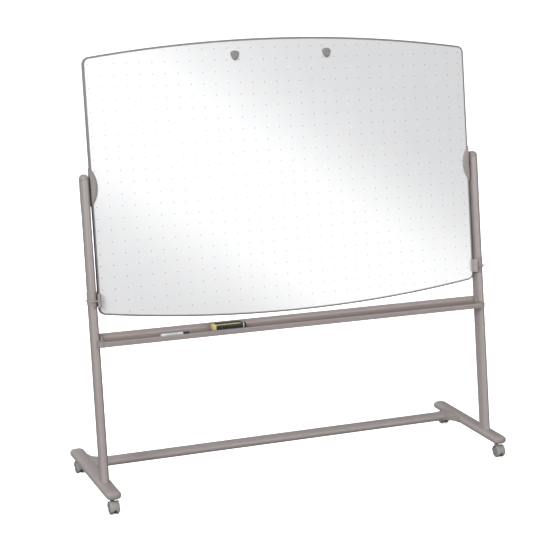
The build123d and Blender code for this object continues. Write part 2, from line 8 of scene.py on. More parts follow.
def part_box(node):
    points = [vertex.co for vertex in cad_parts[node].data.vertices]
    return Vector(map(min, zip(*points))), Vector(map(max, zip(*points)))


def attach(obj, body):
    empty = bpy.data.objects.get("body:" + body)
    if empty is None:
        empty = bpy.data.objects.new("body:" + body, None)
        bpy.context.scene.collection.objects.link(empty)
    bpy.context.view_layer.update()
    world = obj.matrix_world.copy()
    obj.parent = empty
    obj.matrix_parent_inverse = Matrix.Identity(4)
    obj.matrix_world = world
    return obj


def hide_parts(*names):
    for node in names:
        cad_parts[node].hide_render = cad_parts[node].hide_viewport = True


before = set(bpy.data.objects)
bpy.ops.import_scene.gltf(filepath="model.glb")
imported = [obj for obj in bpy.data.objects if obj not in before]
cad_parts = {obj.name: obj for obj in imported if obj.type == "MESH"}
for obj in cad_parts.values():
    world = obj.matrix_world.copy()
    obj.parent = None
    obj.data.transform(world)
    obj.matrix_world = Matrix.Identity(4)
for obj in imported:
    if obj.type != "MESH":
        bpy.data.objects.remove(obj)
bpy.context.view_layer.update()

# Rolling whiteboard: surface detail, materials, camera and light over the CAD frame.
# Metres. +X runs along the board to the user's right, +Y to the back, +Z up.

# ---- dimensions shared with the CAD model ----------------------------------------------
LEAN = math.radians(9.2)
PIVOT_Y = 0.052
PIVOT_Z = 1.347
POST_X = 0.940
TUBE_LONG = 0.033
TUBE_SHORT = 0.01825
TUBE_POWER = 2.6                # the tubes are fuller than a plain ellipse
POST_TOP = 0.0567
CAP_LENGTH = 0.025
BOARD_EDGE = 0.9145
BOARD_HALF = 0.6095
BOARD_RISE = 0.065
BOARD_CORNER = 0.032
FACE = 0.010
SHEET_FACE = 0.0088
FRAME_LIP = 0.0082              # 2.2 mm wider than the CAD's lip
ARC_RADIUS = (BOARD_EDGE ** 2 + BOARD_RISE ** 2) / (2 * BOARD_RISE)
DOT_PITCH_X = 0.0573
DOT_PITCH_Z = 0.05035
DOT_START_X = 0.0232
DOT_START_Z = 0.0135
DOT_RADIUS = 0.0026
DOT_MARGIN = 0.018

FOOT_FRONT = -0.306
FOOT_BACK = 0.3125
FOOT_Z = 0.0834
RAIL_Y = 0.1315
TRAY_BACK = -0.049
TRAY_DEPTH = 0.072
TRAY_BOTTOM = 0.6855
TRAY_FLOOR = 0.699
TRAY_TOP = 0.731
TRAY_LIP = 0.7085
TRAY_CORNER = 0.020
TRAY_SHEET = 0.0025
TRAY_HALF = 0.912
WHEEL_RADIUS = 0.025
WHEEL_TRAIL = 0.022
WEB_HALF = 0.0045
# top of the painted shade on the caster web between the wheels
WEB_SHADE_TOP = 0.024
WHEEL_WIDTH = 0.0155
HOOD_TOP = 0.0593
HOOD_FRONT_ANGLE = math.radians(192.0)      # 6 mm higher than the front end in the CAD
HOOD_BACK_ANGLE = math.radians(-1.7)        # both are measured from +Y through the top
CASTERS = (("front_left", -POST_X, -0.262), ("front_right", POST_X, -0.262),
           ("back_left", -POST_X, 0.274), ("back_right", POST_X, 0.274))
BRACKET_HALF = 0.082
BRACKET_REACH = 0.0295
COLLAR_TOP = -0.443
COLLAR_BOTTOM = -0.517
COLLAR_WALL = 0.003
LATCH_Z = -0.482
GUIDE_INNER = 0.00305           # the guides run above and below the latch's bars
GUIDE_OUTER = 0.0080
HOOK_X = (-0.226, 0.214)
HOOK_Z = 0.536
PEG_DROP = 0.0119               # how far the peg is below the hook's middle
BRACKET_PROUD = 0.0015          # how far a bracket stands out past the board's side edge

# ---- colours, camera and light ---------------------------------------------------------
COAT = (0.343, 0.303, 0.294)     # the stand's warm grey
# painted shade: the darker warm grey painted low in the tray's trough for its shadow
TROUGH_PAINTED_SHADE = (0.250, 0.200, 0.190)
EDGE_TRIM = (0.215, 0.199, 0.193)
HOOK_GREY = (0.25, 0.25, 0.235)
CASTER_GREY = (0.29, 0.288, 0.27)
WHEEL_GREY = (0.22, 0.22, 0.208)
LAMINATE_WHITE = (0.72, 0.725, 0.735)
DOT_GREY = (0.33, 0.33, 0.35)
# painted shade: the black painted on the caster web for the shadow between the wheels
WEB_PAINTED_SHADE = (0.012, 0.012, 0.012)
CAMERA_PLACE = (-2.6134, -6.0730, 2.4274)
CAMERA_LENS = 96.74
CAMERA_YAW = math.radians(-22.80)
CAMERA_DOWN = math.radians(13.22)
CAMERA_ROLL = math.radians(0.22)
BRIGHT_SIDE = (-0.60, -0.35, 0.70)          # where the studio's dome is brightest
STRIP_TURN = math.radians(-40.0)
STUDIO_RADIUS = 60.0

LEANING = Matrix.Translation((0, PIVOT_Y, PIVOT_Z)) @ Matrix.Rotation(-LEAN, 4, "X")


# ---- node helpers ----------------------------------------------------------------------
class Nodes:
    """A short way to add and join shader nodes."""

    def __init__(self, name, slot=None):
        self.material = bpy.data.materials.new("fine_" + name)
        self.material["slot"] = slot or name
        self.material.use_nodes = True
        self.tree = self.material.node_tree
        self.shader = self.tree.nodes["Principled BSDF"]

    def add(self, kind, **settings):
        node = self.tree.nodes.new(kind)
        for key, value in settings.items():
            setattr(node, key, value)
        return node

    def join(self, source, target):
        self.tree.links.new(source, target)

    def coords(self):
        return self.add("ShaderNodeTexCoord").outputs["Object"]

    def xyz(self):
        axes = self.add("ShaderNodeSeparateXYZ")
        self.join(self.coords(), axes.inputs[0])
        return axes.outputs["X"], axes.outputs["Y"], axes.outputs["Z"]

    def noise(self, scale, detail=3.0, roughness=0.5, vector=None):
        node = self.add("ShaderNodeTexNoise")
        node.inputs["Scale"].default_value = scale
        node.inputs["Detail"].default_value = detail
        node.inputs["Roughness"].default_value = roughness
        self.join(vector or self.coords(), node.inputs["Vector"])
        return node.outputs["Fac"]

    def math(self, operation, a, b=None, c=None):
        node = self.add("ShaderNodeMath", operation=operation)
        for socket, value in zip(node.inputs, (a, b, c)):
            if value is None:
                continue
            if isinstance(value, (int, float)):
                socket.default_value = value
            else:
                self.join(value, socket)
        return node.outputs[0]

    def ramp(self, value, low, high, out_low=0.0, out_high=1.0):
        node = self.add("ShaderNodeMapRange")
        limits = {"From Min": low, "From Max": high, "To Min": out_low, "To Max": out_high}
        for key, number in limits.items():
            node.inputs[key].default_value = number
        self.join(value, node.inputs["Value"])
        return node.outputs["Result"]

    def mix(self, factor, colour_a, colour_b):
        node = self.add("ShaderNodeMix", data_type="RGBA")
        self.join(factor, node.inputs["Factor"])
        for socket, value in ((node.inputs[6], colour_a), (node.inputs[7], colour_b)):
            if isinstance(value, tuple):
                socket.default_value = (*value, 1.0)
            else:
                self.join(value, socket)
        return node.outputs[2]

    def bump(self, height, strength, distance):
        node = self.add("ShaderNodeBump")
        node.inputs["Strength"].default_value = strength
        node.inputs["Distance"].default_value = distance
        self.join(height, node.inputs["Height"])
        self.join(node.outputs["Normal"], self.shader.inputs["Normal"])

    def set(self, **values):
        for key, value in values.items():
            self.shader.inputs[key.replace("_", " ")].default_value = value


def shade(colour, factor):
    return tuple(min(1.0, c * factor) for c in colour)


# ---- materials -------------------------------------------------------------------------
def coat_layers(n, colour, roughness=0.38):
    """Satin powder coat: a fine orange peel, a faint mottle and slightly polished high spots."""
    mottle = n.noise(14.0, 4.0)
    colour_out = n.mix(n.ramp(mottle, 0.3, 0.7), shade(colour, 0.965), shade(colour, 1.03))
    n.join(colour_out, n.shader.inputs["Base Color"])
    n.join(n.ramp(n.noise(60.0, 3.0), 0.25, 0.75, roughness - 0.04, roughness + 0.05),
           n.shader.inputs["Roughness"])
    n.bump(n.noise(750.0, 2.0), 0.10, 0.0006)
    n.set(Metallic=0.15)
    n.set(**{"Coat Weight": 0.2, "Coat Roughness": 0.3})
    return colour_out


def powder_coat(name, colour, roughness=0.38):
    n = Nodes(name)
    coat_layers(n, colour, roughness)
    return n.material


def trough_coat(colour):
    """The powder coat, darker low in the tray's trough: painted shade standing in for the shadow there.
    """
    n = Nodes("tray_coat", "powder_coat")
    clean = coat_layers(n, colour)
    x, y, z = n.xyz()
    low = n.ramp(z, TRAY_FLOOR + 0.007, TRAY_FLOOR + 0.016, 1.0, 0.0)
    above = n.math("GREATER_THAN", z, TRAY_FLOOR - 0.001)
    behind = n.math("GREATER_THAN", y, TRAY_BACK - TRAY_DEPTH + 0.0055)
    trough = n.math("MULTIPLY", n.math("MULTIPLY", low, above), behind)
    # painted shade: the trough's floor and lower back wall take the darker colour
    n.join(n.mix(trough, clean, TROUGH_PAINTED_SHADE), n.shader.inputs["Base Color"])
    return n.material


def eraser_wrap():
    """A black wrap that leaves the block's yellow showing at the left end and along the top edge."""
    n = Nodes("eraser_case")
    low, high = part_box("eraser_body")
    x, y, z = n.xyz()
    end = n.math("LESS_THAN", x, low.x + 0.0130)
    top = n.math("GREATER_THAN", z, high.z - 0.0022)
    front = n.math("LESS_THAN", y, low.y + 0.0085)
    short = n.math("LESS_THAN", x, high.x - 0.0260)
    stripe = n.math("MULTIPLY", n.math("MULTIPLY", top, front), short)
    yellow = n.math("MAXIMUM", end, stripe)
    band = n.math("COMPARE", x, high.x - 0.0130, 0.0022)
    fleck = n.ramp(n.noise(300.0, 3.0), 0.3, 0.7)
    foam = n.mix(fleck, (0.50, 0.42, 0.13), (0.62, 0.53, 0.20))
    wrap = n.mix(fleck, (0.012, 0.010, 0.012), (0.020, 0.018, 0.020))
    banded = n.mix(band, wrap, (0.55, 0.55, 0.54))
    n.join(n.mix(yellow, banded, foam), n.shader.inputs["Base Color"])
    n.set(Roughness=0.45)
    n.bump(n.noise(500.0, 2.0), 0.10, 0.0004)
    return n.material


def marker_barrel_paint():
    """White gloss plastic with a plain pale blue band round the middle."""
    n = Nodes("marker_white")
    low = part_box("marker_barrel")[0]
    x = n.xyz()[0]
    band = n.math("COMPARE", x, low.x + 0.050, 0.026)
    tone = n.ramp(n.noise(90.0, 2.0), 0.3, 0.7)
    white = n.mix(tone, (0.70, 0.70, 0.70), (0.74, 0.74, 0.74))
    n.join(n.mix(band, white, (0.55, 0.61, 0.65)), n.shader.inputs["Base Color"])
    n.set(Roughness=0.32)
    n.bump(n.noise(300.0, 2.0), 0.04, 0.0003)
    return n.material


def plastic_layers(n, colour, roughness=0.5, grain=900.0, depth=0.16):
    """Moulded plastic: a spark-eroded grain, with small changes of tone and gloss."""
    tone = n.ramp(n.noise(30.0, 3.0), 0.3, 0.7)
    colour_out = n.mix(tone, shade(colour, 0.95), shade(colour, 1.04))
    n.join(colour_out, n.shader.inputs["Base Color"])
    n.join(n.ramp(n.noise(220.0, 2.0), 0.3, 0.7, roughness - 0.05, roughness + 0.06),
           n.shader.inputs["Roughness"])
    n.bump(n.noise(grain, 2.0), depth, 0.0005)
    return colour_out


def moulded(name, colour, roughness=0.5, grain=900.0, depth=0.16, slot=None):
    n = Nodes(name, slot)
    plastic_layers(n, colour, roughness, grain, depth)
    return n.material


def caster_moulding(colour):
    """The hood's plastic, black on the low part of the web between the wheels as painted shade for the
    shadow there.
    """
    n = Nodes("caster_body")
    clean = plastic_layers(n, colour)
    x, y, z = n.xyz()
    low = n.math("LESS_THAN", z, WEB_SHADE_TOP)
    middle = n.math("COMPARE", n.math("ABSOLUTE", x), POST_X, WEB_HALF + 0.0005)
    web = n.math("MULTIPLY", low, middle)
    # painted shade: the web's low part between the wheels is painted black
    n.join(n.mix(web, clean, WEB_PAINTED_SHADE), n.shader.inputs["Base Color"])
    return n.material


def brushed_metal(name, colour, roughness=0.3):
    """Metal with fine lines along X."""
    n = Nodes(name)
    stretch = n.add("ShaderNodeMapping")
    stretch.inputs["Scale"].default_value = (0.2, 12.0, 12.0)
    n.join(n.coords(), stretch.inputs["Vector"])
    lines = n.noise(160.0, 4.0, vector=stretch.outputs["Vector"])
    n.join(n.mix(lines, shade(colour, 0.85), shade(colour, 1.1)), n.shader.inputs["Base Color"])
    n.join(n.ramp(lines, 0.2, 0.8, roughness - 0.08, roughness + 0.1), n.shader.inputs["Roughness"])
    n.bump(lines, 0.12, 0.0002)
    n.set(Metallic=1.0)
    return n.material


def dot_mask(n):
    """One where a dot of the grid is, in the board's own upright frame."""
    x, y, z = n.xyz()
    offsets = []
    for value, start, pitch in ((x, DOT_START_X, DOT_PITCH_X), (z, DOT_START_Z, DOT_PITCH_Z)):
        cell = n.math("DIVIDE", n.math("SUBTRACT", value, start), pitch)
        nearest = n.math("ROUND", cell)
        offsets.append(n.math("MULTIPLY", n.math("SUBTRACT", cell, nearest), pitch))
    squares = [n.math("MULTIPLY", offset, offset) for offset in offsets]
    distance = n.math("SQRT", n.math("ADD", *squares))
    dot = n.ramp(distance, DOT_RADIUS - 0.0003, DOT_RADIUS + 0.0003, 1.0, 0.0)
    high = n.math("ADD", n.math("ABSOLUTE", z), ARC_RADIUS - BOARD_HALF)
    reach = n.math("SQRT", n.math("ADD", n.math("MULTIPLY", x, x), n.math("MULTIPLY", high, high)))
    inside_arc = n.math("LESS_THAN", reach, ARC_RADIUS - DOT_MARGIN)
    inside_edge = n.math("LESS_THAN", n.math("ABSOLUTE", x), BOARD_EDGE - DOT_MARGIN)
    return n.math("MULTIPLY", dot, n.math("MULTIPLY", inside_arc, inside_edge))


def writing_surface():
    """Glossy dry-erase laminate with its grid of light grey dots and faint wiping marks."""
    n = Nodes("writing_surface")
    haze = n.ramp(n.noise(5.0, 5.0, 0.6), 0.35, 0.75)
    base = n.mix(haze, LAMINATE_WHITE, shade(LAMINATE_WHITE, 0.975))
    n.join(n.mix(dot_mask(n), base, DOT_GREY), n.shader.inputs["Base Color"])
    n.join(n.ramp(n.noise(18.0, 5.0, 0.6), 0.3, 0.8, 0.20, 0.30), n.shader.inputs["Roughness"])
    n.bump(n.noise(40.0, 2.0), 0.012, 0.0008)
    n.set(**{"Coat Weight": 1.0, "Coat Roughness": 0.19, "Coat IOR": 1.8})
    return n.material


def fibreboard():
    """Brown board with fine, rough fibres."""
    n = Nodes("panel_core")
    fibres = n.noise(400.0, 5.0, 0.7)
    n.join(n.mix(fibres, (0.36, 0.25, 0.15), (0.52, 0.39, 0.25)), n.shader.inputs["Base Color"])
    n.set(Roughness=0.85)
    n.bump(fibres, 0.3, 0.0005)
    return n.material


def felt():
    """Grey felt with a deep fuzz."""
    n = Nodes("eraser_felt")
    fuzz = n.noise(1400.0, 5.0, 0.75)
    n.join(n.mix(fuzz, (0.14, 0.14, 0.15), (0.34, 0.34, 0.36)), n.shader.inputs["Base Color"])
    n.set(Roughness=0.95)
    n.set(**{"Sheen Weight": 0.5, "Sheen Roughness": 0.6})
    n.bump(fuzz, 0.7, 0.0012)
    return n.material


# ---- mesh helpers ----------------------------------------------------------------------
def finish_mesh(mesh, angle=32.0):
    """Outward normals and smooth shading, with edges sharper than the angle kept crisp."""
    work = bmesh.new()
    work.from_mesh(mesh)
    bmesh.ops.remove_doubles(work, verts=work.verts, dist=1e-7)
    bmesh.ops.recalc_face_normals(work, faces=work.faces)
    work.to_mesh(mesh)
    work.free()
    mesh.polygons.foreach_set("use_smooth", [True] * len(mesh.polygons))
    mesh.set_sharp_from_angle(angle=math.radians(angle))


def skin(rings, capped=True, closed=False):
    """Vertices and faces of a surface through rings of points, one after another."""
    count = len(rings[0])
    vertices = [point for ring in rings for point in ring]
    faces = []
    spans = len(rings) if closed else len(rings) - 1
    for level in range(spans):
        low = level * count
        high = (level + 1) % len(rings) * count
        for i in range(count):
            j = (i + 1) % count
            faces.append((low + i, low + j, high + j, high + i))
    if capped and not closed:
        faces.append(tuple(range(count)))
        faces.append(tuple(range(len(vertices) - count, len(vertices))))
    return vertices, faces


def merged(*shapes):
    """One vertex and face list from several closed shapes."""
    vertices, faces = [], []
    for shape_vertices, shape_faces in shapes:
        base = len(vertices)
        vertices += shape_vertices
        faces += [tuple(base + i for i in face) for face in shape_faces]
    return vertices, faces


def mirrored(shape):
    """The shape reflected from one side of the object to the other."""
    vertices, faces = shape
    return [(-x, y, z) for x, y, z in vertices], faces


def piece(name, shape, body, material, nodes, place=None, angle=32.0, bevel=0.0):
    """Make one piece that replaces its CAD nodes and rides on a body."""
    mesh = bpy.data.meshes.new(name)
    mesh.from_pydata(shape[0], [], shape[1])
    finish_mesh(mesh, angle)
    mesh.materials.append(material)
    obj = bpy.data.objects.new(name, mesh)
    bpy.context.collection.objects.link(obj)
    if place is not None:
        obj.matrix_world = place
        bpy.context.view_layer.update()
    if bevel:
        cut = obj.modifiers.new("edges", "BEVEL")
        cut.width = bevel
        cut.segments = 2
        cut.limit_method = "ANGLE"
        cut.angle_limit = math.radians(angle)
        cut.harden_normals = True
    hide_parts(*nodes)
    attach(obj, body)


def oval(a, b, count=72, power=2.0):
    """Points of a superellipse with half-axes a and b."""
    points = []
    for i in range(count):
        angle = 2 * math.pi * i / count
        c, s = math.cos(angle), math.sin(angle)
        u = math.copysign(abs(c) ** (2 / power), c) * a
        v = math.copysign(abs(s) ** (2 / power), s) * b
        points.append((u, v))
    return points


def lathe_x(profile, y, z, count=64):
    """Turn (x, radius) points round the line through y, z along X."""
    rings = []
    for x, radius in profile:
        ring = []
        for i in range(count):
            angle = 2 * math.pi * i / count
            ring.append((x, y + radius * math.cos(angle), z + radius * math.sin(angle)))
        rings.append(ring)
    return skin(rings)


def lathe_z(profile, x, y, count=48):
    """Turn (z, radius) points round the upright line through x, y."""
    rings = []
    for z, radius in profile:
        ring = []
        for i in range(count):
            angle = 2 * math.pi * i / count
            ring.append((x + radius * math.cos(angle), y + radius * math.sin(angle), z))
        rings.append(ring)
    return skin(rings)


def block(low, high):
    """A box between two opposite corners."""
    x0, y0, z0 = low
    x1, y1, z1 = high
    bottom = [(x0, y0, z0), (x1, y0, z0), (x1, y1, z0), (x0, y1, z0)]
    top = [(x0, y0, z1), (x1, y0, z1), (x1, y1, z1), (x0, y1, z1)]
    return skin([bottom, top])


def rounded_path(corners, radii, steps=6):
    """A closed outline through the corners, each one rounded to its own radius."""
    points = []
    count = len(corners)
    for k in range(count):
        here = Vector(corners[k])
        before = Vector(corners[k - 1])
        after = Vector(corners[(k + 1) % count])
        radius = radii[k]
        to_before = (before - here).normalized()
        to_after = (after - here).normalized()
        turn = to_before.angle(to_after)
        if radius == 0 or turn > math.pi - 1e-3:
            points.append(tuple(here))
            continue
        reach = radius / math.tan(turn / 2)
        start = here + to_before * reach
        end = here + to_after * reach
        centre = here + (to_before + to_after).normalized() * (radius / math.sin(turn / 2))
        first = start - centre
        last = end - centre
        sweep = first.angle_signed(last)
        for step in range(steps + 1):
            angle = -sweep * step / steps
            c, s = math.cos(angle), math.sin(angle)
            x = centre.x + first.x * c - first.y * s
            y = centre.y + first.x * s + first.y * c
            points.append((x, y))
    return points


# ---- stand -----------------------------------------------------------------------------
def upright_section(scale=1.0, inset=0.0):
    """The tube's section as a post has it, (across, front to back)."""
    return oval(TUBE_SHORT * scale - inset, TUBE_LONG * scale - inset, 72, TUBE_POWER)


def flat_section(scale=1.0, inset=0.0):
    """The tube's section as a foot or the rail has it, (across, up)."""
    return oval(TUBE_LONG * scale - inset, TUBE_SHORT * scale - inset, 72, TUBE_POWER)


def dome_scales(steps=14, power=2.3):
    """(height, width) pairs of a blunt dome, both from 0 to 1."""
    pairs = []
    for i in range(steps + 1):
        height = math.sin(math.pi / 2 * i / steps)
        pairs.append((height, max(1 - height ** power, 0.0) ** (1 / power)))
    pairs[-1] = (1.0, 0.02)
    return pairs


def add_posts(coat, cap_plastic):
    """Oval posts that run down into the feet, each with a seated domed cap."""
    below = -(PIVOT_Z - FOOT_Z) / math.cos(LEAN)
    seam = POST_TOP - CAP_LENGTH
    for side, sign in (("left", -1), ("right", 1)):
        levels = [below, below * 0.66, below * 0.33, seam - 0.0006, seam - 0.0001]
        insets = [0, 0, 0, 0, 0.0006]
        rings = []
        for z, inset in zip(levels, insets):
            rings.append([(sign * POST_X + x, y, z) for x, y in upright_section(1.0, inset)])
        piece(side + "_post_tube", skin(rings), "stand", coat, (side + "_post",), LEANING)
    dome = [(0.0001, 0.965), (0.0010, 1.0)]
    dome += [(0.0010 + height * (CAP_LENGTH - 0.0010), width) for height, width in dome_scales()[1:]]
    caps = []
    for sign in (-1, 1):
        rings = []
        for z, width in dome:
            rings.append([(sign * POST_X + x, y, seam + z) for x, y in upright_section(width)])
        caps.append(skin(rings))
    piece("post_domes", merged(*caps), "stand", cap_plastic, ("post_end_caps",), LEANING, 60)


def foot_ring(sign, y, section):
    return [(sign * POST_X + x, y, FOOT_Z + z) for x, z in section]


def foot_cap(sign, seam, way):
    """A domed cap that starts with a fine groove at the seam and runs out along Y."""
    groove = ((-0.0001, 0.0007), (0.0008, 0.0))
    rings = [foot_ring(sign, seam + way * out, flat_section(1.0, inset)) for out, inset in groove]
    for height, width in dome_scales(14, 2.6)[1:]:
        out = 0.0008 + height * (CAP_LENGTH - 0.0008)
        rings.append(foot_ring(sign, seam + way * out, flat_section(width)))
    return skin(rings)


def add_feet(coat, cap_plastic):
    """Foot tubes with eased ends, and a cap on each end."""
    start = FOOT_FRONT + CAP_LENGTH
    end = FOOT_BACK - CAP_LENGTH
    stations = ((start + 0.0001, 0.0006), (start + 0.0006, 0.0), (0.0, 0.0),
                (end - 0.0006, 0.0), (end - 0.0001, 0.0006))
    caps = []
    for side, sign in (("left", -1), ("right", 1)):
        rings = [foot_ring(sign, y, flat_section(1.0, inset)) for y, inset in stations]
        piece(side + "_foot", skin(rings), "stand", coat, (side + "_foot_tube",))
        caps.append(foot_cap(sign, start, -1))
        caps.append(foot_cap(sign, end, 1))
    piece("foot_domes", merged(*caps), "stand", cap_plastic, ("foot_end_caps",), None, 60)


def add_rail(coat):
    """The bottom rail, which runs into both feet."""
    reach = POST_X - TUBE_LONG * 0.5
    rings = []
    for x in (-reach, -reach / 3, reach / 3, reach):
        rings.append([(x, RAIL_Y + y, FOOT_Z + z) for y, z in flat_section()])
    piece("rail", skin(rings), "stand", coat, ("bottom_rail",))


def tray_outline():
    """The tray's section: (towards the back, up), one closed outline with rounded folds."""
    t = TRAY_SHEET
    low, high, floor, lip = TRAY_BOTTOM, TRAY_TOP, TRAY_FLOOR, TRAY_LIP
    back = TRAY_BACK
    front = TRAY_BACK - TRAY_DEPTH
    hem = front + t + 0.0015
    inner = hem + t
    flange = front + 0.008
    wall = [((back, floor - t), TRAY_CORNER + t), ((back, high), 0.0011),
            ((back - t, high), 0.0011), ((back - t, floor), TRAY_CORNER)]
    front_lip = [((inner, floor), 0.004), ((inner, lip), 0.002),
                 ((front, lip), 0.0024), ((front, low), 0.0022)]
    underside = [((flange, low), 0.001), ((flange, low + t), 0.001), ((front + t, low + t), 0),
                 ((front + t, lip - t), 0), ((hem, lip - t), 0), ((hem, floor - t), 0.002)]
    steps = wall + front_lip + underside
    return rounded_path([corner for corner, radius in steps], [radius for corner, radius in steps], 8)


def add_tray(coat):
    """The folded channel; its end caps stay CAD."""
    outline = tray_outline()
    stations = (-TRAY_HALF, -TRAY_HALF / 3, TRAY_HALF / 3, TRAY_HALF)
    rings = [[(x, y, z) for y, z in outline] for x in stations]
    piece("tray_channel", skin(rings), "stand", coat, ("marker_tray",))


# ---- casters ---------------------------------------------------------------------------
def hood_section():
    """The fender's section, (across, out from the wheels), with its sides bent down."""
    wide = WEB_HALF + WHEEL_WIDTH + 0.001
    thick = 0.0023
    flat = 0.013
    corners = [(-wide, 0.0), (wide, 0.0), (wide, -thick), (-wide, -thick)]
    section = []
    for u, depth in rounded_path(corners, [0.0010, 0.0010, 0.0006, 0.0006], 5):
        bend = max(0.0, (abs(u) - flat) / (wide - flat))
        section.append((u, depth - 0.0022 * bend ** 2.0))
    return section


def hood_shape(x, y):
    """A rounded fender over both wheels, the web between them and the neck round the stem."""
    axle_y = y - WHEEL_TRAIL
    section = hood_section()
    reach = WHEEL_RADIUS + 0.0035
    rise = HOOD_TOP - WHEEL_RADIUS
    steps = 44
    rings = []
    for i in range(steps + 1):
        angle = HOOD_FRONT_ANGLE + (HOOD_BACK_ANGLE - HOOD_FRONT_ANGLE) * i / steps
        ring = []
        for u, depth in section:
            ring_y = axle_y + (reach + depth) * math.cos(angle)
            ring_z = WHEEL_RADIUS + (rise + depth) * math.sin(angle)
            ring.append((x + u, ring_y, ring_z))
        rings.append(ring)
    fender = skin(rings)
    web_radius = WHEEL_RADIUS - 0.0030
    web_profile = [(x - WEB_HALF, web_radius - 0.001), (x - WEB_HALF + 0.001, web_radius),
                   (x + WEB_HALF - 0.001, web_radius), (x + WEB_HALF, web_radius - 0.001)]
    web = lathe_x(web_profile, axle_y, WHEEL_RADIUS)
    neck = lathe_z([(0.0480, 0.0095), (0.0560, 0.0100), (0.0585, 0.0100), (0.0594, 0.0090)], x, y)
    rib = block((x - 0.0042, axle_y, 0.0330), (x + 0.0042, y + 0.0085, 0.0525))
    return merged(fender, web, neck, rib)


def wheel_shape(x, y, outward):
    """Half of a twin wheel: a rounded tread, a dished outer face with a raised rim and hub."""
    axle_y = y - WHEEL_TRAIL
    r = WHEEL_RADIUS
    profile = [(0.0051, 0.0032), (0.0051, r - 0.0030), (0.0057, r - 0.0012), (0.0070, r - 0.0002),
               (0.0092, r), (0.0114, r), (0.0117, r - 0.0007), (0.0123, r - 0.0007), (0.0126, r),
               (0.0148, r), (0.0172, r - 0.0004), (0.0187, r - 0.0015), (0.0194, r - 0.0034),
               (0.0194, r - 0.0056), (0.0180, r - 0.0064), (0.0175, r - 0.0078), (0.0175, 0.0092),
               (0.0179, 0.0078), (0.0189, 0.0070), (0.0191, 0.0052), (0.0191, 0.0006)]
    points = [(x + outward * u, radius) for u, radius in profile]
    return lathe_x(points, axle_y, r, 72)


def add_casters(body_plastic, wheel_plastic):
    """A hood and two wheels at each corner."""
    for corner, x, y in CASTERS:
        caster = corner + "_caster"
        hood = hood_shape(x, y)
        piece(corner + "_hood", hood, caster, body_plastic, (caster + "_hood",), None, 40)
        for side, outward in (("left", -1), ("right", 1)):
            wheel = f"{corner}_{side}_wheel"
            shape = wheel_shape(x, y, outward)
            piece(wheel + "_tread", shape, wheel, wheel_plastic, (wheel,), None, 35)


# ---- board -----------------------------------------------------------------------------
def board_outline(inset=0.0):
    """The arched outline in the board's upright frame, as (x, z) points, clockwise from the top."""
    edge = BOARD_EDGE - inset
    radius = ARC_RADIUS - inset
    centre = BOARD_HALF - ARC_RADIUS
    corner = max(BOARD_CORNER - inset, 0.004)
    corner_x = edge - corner
    corner_z = centre + math.sqrt((radius - corner) ** 2 - corner_x ** 2)
    tilt = math.atan2(corner_x, corner_z - centre)
    top = []
    for i in range(49):
        angle = -tilt + 2 * tilt * i / 48
        top.append((radius * math.sin(angle), centre + radius * math.cos(angle)))
    for i in range(1, 13):
        angle = math.pi / 2 - tilt - (math.pi / 2 - tilt) * i / 12
        top.append((corner_x + corner * math.cos(angle), corner_z + corner * math.sin(angle)))
    left = [(-x, z) for x, z in reversed(top[49:])]
    half = left + top
    return half + [(-x, -z) for x, z in half]


def add_sheets(surface):
    """A thin laminate on each face, tucked under the trim."""
    outline = board_outline(0.0025)
    for side, sign in (("front", -1), ("back", 1)):
        rings = []
        for depth in (SHEET_FACE - 0.0008, SHEET_FACE):
            rings.append([(x, sign * depth, z) for x, z in outline])
        piece(side + "_surface", skin(rings), "board", surface, (side + "_writing_sheet",), LEANING)


def add_edge_frame(coat):
    """The channel trim: a softly rounded outer wall and a lip over each face."""
    section = [(FRAME_LIP, SHEET_FACE), (FRAME_LIP, FACE - 0.0005), (FRAME_LIP - 0.0006, FACE - 0.0001),
               (FRAME_LIP - 0.0014, FACE), (0.0022, FACE), (0.0011, FACE - 0.0006),
               (0.0003, FACE - 0.0020), (0.0, FACE - 0.0045), (0.0, 0.0)]
    section += [(inset, -depth) for inset, depth in reversed(section[:-1])]
    section += [(0.0021, -SHEET_FACE), (0.0021, SHEET_FACE)]
    outlines = {inset: board_outline(inset) for inset, depth in section}
    rings = []
    for i in range(len(outlines[0.0])):
        rings.append([(outlines[inset][i][0], depth, outlines[inset][i][1]) for inset, depth in section])
    nodes = ("top_edge_frame", "bottom_edge_frame")
    piece("edge_trim", skin(rings, closed=True), "board", coat, nodes, LEANING)


def add_brackets(plastic):
    """Half-moon pivot brackets: a sloped rim, then a gently crowned face, on both faces."""
    radius = (BRACKET_HALF ** 2 + BRACKET_REACH ** 2) / (2 * BRACKET_REACH)
    centre = BOARD_EDGE - BRACKET_REACH + radius
    spread = math.asin(BRACKET_HALF / radius)
    steps = [(0.0, 0.0), (0.0, 0.0022), (0.0006, 0.0030), (0.0040, 0.0052), (0.0055, 0.0058),
             (0.0063, 0.0057), (0.0075, 0.0062), (0.0140, 0.0068), (0.0220, 0.0070)]
    for side, sign in (("left", -1), ("right", 1)):
        halves = []
        for face in (-1, 1):
            rings = []
            for inset, proud in steps:
                inner = radius - inset
                outer_x = BOARD_EDGE + BRACKET_PROUD - inset * 0.10
                depth = face * (FACE + proud)
                ring = []
                for i in range(49):
                    angle = math.pi - spread + 2 * spread * i / 48
                    x = min(centre + inner * math.cos(angle), outer_x)
                    ring.append((sign * x, depth, inner * math.sin(angle)))
                ring.append((sign * outer_x, depth, ring[-1][2]))
                ring.append((sign * outer_x, depth, ring[0][2]))
                rings.append(ring)
            halves.append(skin(rings))
        bridge = block((BOARD_EDGE + 0.0002, -FACE - 0.002, -BRACKET_HALF + 0.002),
                       (BOARD_EDGE + 0.0014, FACE + 0.002, BRACKET_HALF - 0.002))
        if sign < 0:
            bridge = mirrored(bridge)
        shape = merged(*halves, bridge)
        piece(side + "_bracket", shape, "board", plastic, (side + "_pivot_bracket",), LEANING, 28)


